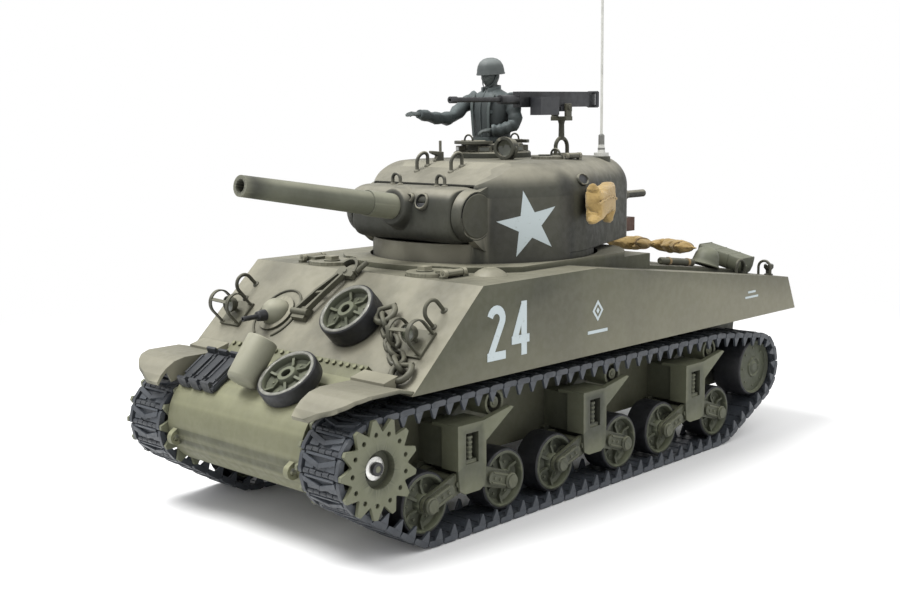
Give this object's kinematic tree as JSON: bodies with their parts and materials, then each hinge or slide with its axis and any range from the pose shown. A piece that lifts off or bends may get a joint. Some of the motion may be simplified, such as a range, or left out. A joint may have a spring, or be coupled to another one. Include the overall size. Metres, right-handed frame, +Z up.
{
  "type": "rc tank",
  "caption": "Radio-controlled scale model tank: welded hull on tracked bogies, cast turret with elevating gun, roof machine gun and crew figure.",
  "frame": {"origin": "on the ground, in the middle of the model's length and width", "axes": "+X towards the front of the hull, +Y towards its left side, +Z up"},
  "size_m": [0.3684, 0.1646, 0.33],
  "materials": {
    "hull_paint": "satin olive drab paint with airbrushed shading",
    "gear_paint": "satin green-olive paint",
    "track_plastic": "dark blue-black moulded links",
    "wheel_paint": "olive disc with a dark tyre",
    "gun_black": "dark gun metal",
    "figure_paint": "blue-green figure paint",
    "stowage": "light olive and tan stowage",
    "antenna_grey": "pale whip",
    "battery_wrap": "shrink wrap",
    "circuit_board": "solder mask",
    "gear_plastic": "nylon"
  },
  "bodies": {
    "hull": {"lower_hull": "hull_paint", "upper_hull": "hull_paint", "transmission_cover": "hull_paint", "suspension_brackets": "gear_paint", "track_left": "track_plastic", "track_right": "track_plastic", "hull_fittings": "hull_paint", "spare_wheels": "wheel_paint", "spare_track_links": "track_plastic", "deck_stowage": "stowage", "battery_pack": "battery_wrap", "control_board": "circuit_board", "drive_gearboxes": "gear_plastic"},
    "sprocket_left": {"sprocket_left": "gear_paint"},
    "idler_left": {"idler_left": "wheel_paint"},
    "arm_1_left": {"arm_1_left": "gear_paint"},
    "wheel_1_left": {"wheel_1_left": "wheel_paint"},
    "arm_2_left": {"arm_2_left": "gear_paint"},
    "wheel_2_left": {"wheel_2_left": "wheel_paint"},
    "arm_3_left": {"arm_3_left": "gear_paint"},
    "wheel_3_left": {"wheel_3_left": "wheel_paint"},
    "arm_4_left": {"arm_4_left": "gear_paint"},
    "wheel_4_left": {"wheel_4_left": "wheel_paint"},
    "arm_5_left": {"arm_5_left": "gear_paint"},
    "wheel_5_left": {"wheel_5_left": "wheel_paint"},
    "arm_6_left": {"arm_6_left": "gear_paint"},
    "wheel_6_left": {"wheel_6_left": "wheel_paint"},
    "return_roller_1_left": {"return_roller_1_left": "gear_paint"},
    "return_roller_2_left": {"return_roller_2_left": "gear_paint"},
    "return_roller_3_left": {"return_roller_3_left": "gear_paint"},
    "sprocket_right": {"sprocket_right": "gear_paint"},
    "idler_right": {"idler_right": "wheel_paint"},
    "arm_1_right": {"arm_1_right": "gear_paint"},
    "wheel_1_right": {"wheel_1_right": "wheel_paint"},
    "arm_2_right": {"arm_2_right": "gear_paint"},
    "wheel_2_right": {"wheel_2_right": "wheel_paint"},
    "arm_3_right": {"arm_3_right": "gear_paint"},
    "wheel_3_right": {"wheel_3_right": "wheel_paint"},
    "arm_4_right": {"arm_4_right": "gear_paint"},
    "wheel_4_right": {"wheel_4_right": "wheel_paint"},
    "arm_5_right": {"arm_5_right": "gear_paint"},
    "wheel_5_right": {"wheel_5_right": "wheel_paint"},
    "arm_6_right": {"arm_6_right": "gear_paint"},
    "wheel_6_right": {"wheel_6_right": "wheel_paint"},
    "return_roller_1_right": {"return_roller_1_right": "gear_paint"},
    "return_roller_2_right": {"return_roller_2_right": "gear_paint"},
    "return_roller_3_right": {"return_roller_3_right": "gear_paint"},
    "driver_hatch_left": {"driver_hatch_left": "hull_paint"},
    "driver_hatch_right": {"driver_hatch_right": "hull_paint"},
    "bow_gun": {"bow_gun": "hull_paint"},
    "turret": {"turret_shell": "hull_paint", "turret_drive": "gear_plastic", "turret_fittings": "hull_paint", "commander_figure": "figure_paint", "antenna": "antenna_grey"},
    "main_gun": {"mantlet": "hull_paint", "gun_barrel": "hull_paint"},
    "loader_hatch": {"loader_hatch": "hull_paint"},
    "gun_pintle": {"gun_pintle": "gear_paint"},
    "machine_gun": {"machine_gun": "gun_black"}
  },
  "joints": [
    {"name": "sprocket_left_spin", "type": "hinge", "parent": "hull", "child": "sprocket_left", "pos_m": [0.1611, 0.0655, 0.0442], "axis": [0, 1, 0], "continuous": true},
    {"name": "idler_left_spin", "type": "hinge", "parent": "hull", "child": "idler_left", "pos_m": [-0.1514, 0.0655, 0.04], "axis": [0, 1, 0], "continuous": true},
    {"name": "arm_1_left_swing", "type": "hinge", "parent": "hull", "child": "arm_1_left", "pos_m": [0.108, 0.0655, 0.025], "axis": [0, -1, 0], "range_deg": [0, 8], "stiffness_Nm_per_rad": 0.05, "springref_deg": -11.46},
    {"name": "wheel_1_left_spin", "type": "hinge", "parent": "arm_1_left", "child": "wheel_1_left", "pos_m": [0.1264, 0.0655, 0.0192], "axis": [0, 1, 0], "continuous": true},
    {"name": "arm_2_left_swing", "type": "hinge", "parent": "hull", "child": "arm_2_left", "pos_m": [0.091, 0.0655, 0.025], "axis": [0, 1, 0], "range_deg": [0, 8], "stiffness_Nm_per_rad": 0.05, "springref_deg": -11.46},
    {"name": "wheel_2_left_spin", "type": "hinge", "parent": "arm_2_left", "child": "wheel_2_left", "pos_m": [0.0726, 0.0655, 0.0192], "axis": [0, 1, 0], "continuous": true},
    {"name": "arm_3_left_swing", "type": "hinge", "parent": "hull", "child": "arm_3_left", "pos_m": [0.0157, 0.0655, 0.025], "axis": [0, -1, 0], "range_deg": [0, 8], "stiffness_Nm_per_rad": 0.05, "springref_deg": -11.46},
    {"name": "wheel_3_left_spin", "type": "hinge", "parent": "arm_3_left", "child": "wheel_3_left", "pos_m": [0.0341, 0.0655, 0.0192], "axis": [0, 1, 0], "continuous": true},
    {"name": "arm_4_left_swing", "type": "hinge", "parent": "hull", "child": "arm_4_left", "pos_m": [-0.0013, 0.0655, 0.025], "axis": [0, 1, 0], "range_deg": [0, 8], "stiffness_Nm_per_rad": 0.05, "springref_deg": -11.46},
    {"name": "wheel_4_left_spin", "type": "hinge", "parent": "arm_4_left", "child": "wheel_4_left", "pos_m": [-0.0197, 0.0655, 0.0192], "axis": [0, 1, 0], "continuous": true},
    {"name": "arm_5_left_swing", "type": "hinge", "parent": "hull", "child": "arm_5_left", "pos_m": [-0.0766, 0.0655, 0.025], "axis": [0, -1, 0], "range_deg": [0, 8], "stiffness_Nm_per_rad": 0.05, "springref_deg": -11.46},
    {"name": "wheel_5_left_spin", "type": "hinge", "parent": "arm_5_left", "child": "wheel_5_left", "pos_m": [-0.0582, 0.0655, 0.0192], "axis": [0, 1, 0], "continuous": true},
    {"name": "arm_6_left_swing", "type": "hinge", "parent": "hull", "child": "arm_6_left", "pos_m": [-0.0936, 0.0655, 0.025], "axis": [0, 1, 0], "range_deg": [0, 8], "stiffness_Nm_per_rad": 0.05, "springref_deg": -11.46},
    {"name": "wheel_6_left_spin", "type": "hinge", "parent": "arm_6_left", "child": "wheel_6_left", "pos_m": [-0.112, 0.0655, 0.0192], "axis": [0, 1, 0], "continuous": true},
    {"name": "return_roller_1_left_spin", "type": "hinge", "parent": "hull", "child": "return_roller_1_left", "pos_m": [0.0795, 0.0655, 0.05819], "axis": [0, 1, 0], "continuous": true},
    {"name": "return_roller_2_left_spin", "type": "hinge", "parent": "hull", "child": "return_roller_2_left", "pos_m": [-0.0128, 0.0655, 0.05739], "axis": [0, 1, 0], "continuous": true},
    {"name": "return_roller_3_left_spin", "type": "hinge", "parent": "hull", "child": "return_roller_3_left", "pos_m": [-0.1051, 0.0655, 0.05658], "axis": [0, 1, 0], "continuous": true},
    {"name": "sprocket_right_spin", "type": "hinge", "parent": "hull", "child": "sprocket_right", "pos_m": [0.1611, -0.0655, 0.0442], "axis": [0, 1, 0], "continuous": true},
    {"name": "idler_right_spin", "type": "hinge", "parent": "hull", "child": "idler_right", "pos_m": [-0.1514, -0.0655, 0.04], "axis": [0, 1, 0], "continuous": true},
    {"name": "arm_1_right_swing", "type": "hinge", "parent": "hull", "child": "arm_1_right", "pos_m": [0.108, -0.0655, 0.025], "axis": [0, -1, 0], "range_deg": [0, 8], "stiffness_Nm_per_rad": 0.05, "springref_deg": -11.46},
    {"name": "wheel_1_right_spin", "type": "hinge", "parent": "arm_1_right", "child": "wheel_1_right", "pos_m": [0.1264, -0.0655, 0.0192], "axis": [0, 1, 0], "continuous": true},
    {"name": "arm_2_right_swing", "type": "hinge", "parent": "hull", "child": "arm_2_right", "pos_m": [0.091, -0.0655, 0.025], "axis": [0, 1, 0], "range_deg": [0, 8], "stiffness_Nm_per_rad": 0.05, "springref_deg": -11.46},
    {"name": "wheel_2_right_spin", "type": "hinge", "parent": "arm_2_right", "child": "wheel_2_right", "pos_m": [0.0726, -0.0655, 0.0192], "axis": [0, 1, 0], "continuous": true},
    {"name": "arm_3_right_swing", "type": "hinge", "parent": "hull", "child": "arm_3_right", "pos_m": [0.0157, -0.0655, 0.025], "axis": [0, -1, 0], "range_deg": [0, 8], "stiffness_Nm_per_rad": 0.05, "springref_deg": -11.46},
    {"name": "wheel_3_right_spin", "type": "hinge", "parent": "arm_3_right", "child": "wheel_3_right", "pos_m": [0.0341, -0.0655, 0.0192], "axis": [0, 1, 0], "continuous": true},
    {"name": "arm_4_right_swing", "type": "hinge", "parent": "hull", "child": "arm_4_right", "pos_m": [-0.0013, -0.0655, 0.025], "axis": [0, 1, 0], "range_deg": [0, 8], "stiffness_Nm_per_rad": 0.05, "springref_deg": -11.46},
    {"name": "wheel_4_right_spin", "type": "hinge", "parent": "arm_4_right", "child": "wheel_4_right", "pos_m": [-0.0197, -0.0655, 0.0192], "axis": [0, 1, 0], "continuous": true},
    {"name": "arm_5_right_swing", "type": "hinge", "parent": "hull", "child": "arm_5_right", "pos_m": [-0.0766, -0.0655, 0.025], "axis": [0, -1, 0], "range_deg": [0, 8], "stiffness_Nm_per_rad": 0.05, "springref_deg": -11.46},
    {"name": "wheel_5_right_spin", "type": "hinge", "parent": "arm_5_right", "child": "wheel_5_right", "pos_m": [-0.0582, -0.0655, 0.0192], "axis": [0, 1, 0], "continuous": true},
    {"name": "arm_6_right_swing", "type": "hinge", "parent": "hull", "child": "arm_6_right", "pos_m": [-0.0936, -0.0655, 0.025], "axis": [0, 1, 0], "range_deg": [0, 8], "stiffness_Nm_per_rad": 0.05, "springref_deg": -11.46},
    {"name": "wheel_6_right_spin", "type": "hinge", "parent": "arm_6_right", "child": "wheel_6_right", "pos_m": [-0.112, -0.0655, 0.0192], "axis": [0, 1, 0], "continuous": true},
    {"name": "return_roller_1_right_spin", "type": "hinge", "parent": "hull", "child": "return_roller_1_right", "pos_m": [0.0795, -0.0655, 0.05819], "axis": [0, 1, 0], "continuous": true},
    {"name": "return_roller_2_right_spin", "type": "hinge", "parent": "hull", "child": "return_roller_2_right", "pos_m": [-0.0128, -0.0655, 0.05739], "axis": [0, 1, 0], "continuous": true},
    {"name": "return_roller_3_right_spin", "type": "hinge", "parent": "hull", "child": "return_roller_3_right", "pos_m": [-0.1051, -0.0655, 0.05658], "axis": [0, 1, 0], "continuous": true},
    {"name": "driver_hatch_left_hinge", "type": "hinge", "parent": "hull", "child": "driver_hatch_left", "pos_m": [0.0845, 0.0515, 0.1186], "axis": [-1, 0, 0], "range_deg": [0, 180]},
    {"name": "driver_hatch_right_hinge", "type": "hinge", "parent": "hull", "child": "driver_hatch_right", "pos_m": [0.0845, -0.0515, 0.1186], "axis": [1, 0, 0], "range_deg": [0, 180]},
    {"name": "bow_gun_swivel", "type": "hinge", "parent": "hull", "child": "bow_gun", "pos_m": [0.12168, -0.037, 0.09467], "axis": [0, 0, 1], "range_deg": [-12, 12]},
    {"name": "turret_traverse", "type": "hinge", "parent": "hull", "child": "turret", "pos_m": [0.0072, 0, 0.117], "axis": [0, 0, 1], "range_deg": [-160, 160]},
    {"name": "gun_elevation", "type": "hinge", "parent": "turret", "child": "main_gun", "pos_m": [0.057, 0, 0.143], "axis": [0, -1, 0], "range_deg": [-9, 12]},
    {"name": "loader_hatch_hinge", "type": "hinge", "parent": "turret", "child": "loader_hatch", "pos_m": [-0.024, 0.0365, 0.1699], "axis": [-1, 0, 0], "range_deg": [0, 130]},
    {"name": "pintle_swivel", "type": "hinge", "parent": "turret", "child": "gun_pintle", "pos_m": [-0.057, 0.002, 0.168], "axis": [0, 0, 1], "range_deg": [-3, 20]},
    {"name": "machine_gun_elevation", "type": "hinge", "parent": "gun_pintle", "child": "machine_gun", "pos_m": [-0.057, 0.002, 0.1954], "axis": [0, -1, 0], "range_deg": [-4, 20]}
  ],
  "couplings": [
    {"joint": "idler_left_spin", "follows": "sprocket_left_spin", "ratio": 1.0487},
    {"joint": "wheel_1_left_spin", "follows": "sprocket_left_spin", "ratio": 1.22},
    {"joint": "wheel_2_left_spin", "follows": "sprocket_left_spin", "ratio": 1.22},
    {"joint": "wheel_3_left_spin", "follows": "sprocket_left_spin", "ratio": 1.22},
    {"joint": "wheel_4_left_spin", "follows": "sprocket_left_spin", "ratio": 1.22},
    {"joint": "wheel_5_left_spin", "follows": "sprocket_left_spin", "ratio": 1.22},
    {"joint": "wheel_6_left_spin", "follows": "sprocket_left_spin", "ratio": 1.22},
    {"joint": "return_roller_1_left_spin", "follows": "sprocket_left_spin", "ratio": 2.8594},
    {"joint": "return_roller_2_left_spin", "follows": "sprocket_left_spin", "ratio": 2.8594},
    {"joint": "return_roller_3_left_spin", "follows": "sprocket_left_spin", "ratio": 2.8594},
    {"joint": "idler_right_spin", "follows": "sprocket_right_spin", "ratio": 1.0487},
    {"joint": "wheel_1_right_spin", "follows": "sprocket_right_spin", "ratio": 1.22},
    {"joint": "wheel_2_right_spin", "follows": "sprocket_right_spin", "ratio": 1.22},
    {"joint": "wheel_3_right_spin", "follows": "sprocket_right_spin", "ratio": 1.22},
    {"joint": "wheel_4_right_spin", "follows": "sprocket_right_spin", "ratio": 1.22},
    {"joint": "wheel_5_right_spin", "follows": "sprocket_right_spin", "ratio": 1.22},
    {"joint": "wheel_6_right_spin", "follows": "sprocket_right_spin", "ratio": 1.22},
    {"joint": "return_roller_1_right_spin", "follows": "sprocket_right_spin", "ratio": 2.8594},
    {"joint": "return_roller_2_right_spin", "follows": "sprocket_right_spin", "ratio": 2.8594},
    {"joint": "return_roller_3_right_spin", "follows": "sprocket_right_spin", "ratio": 2.8594}
  ]
}
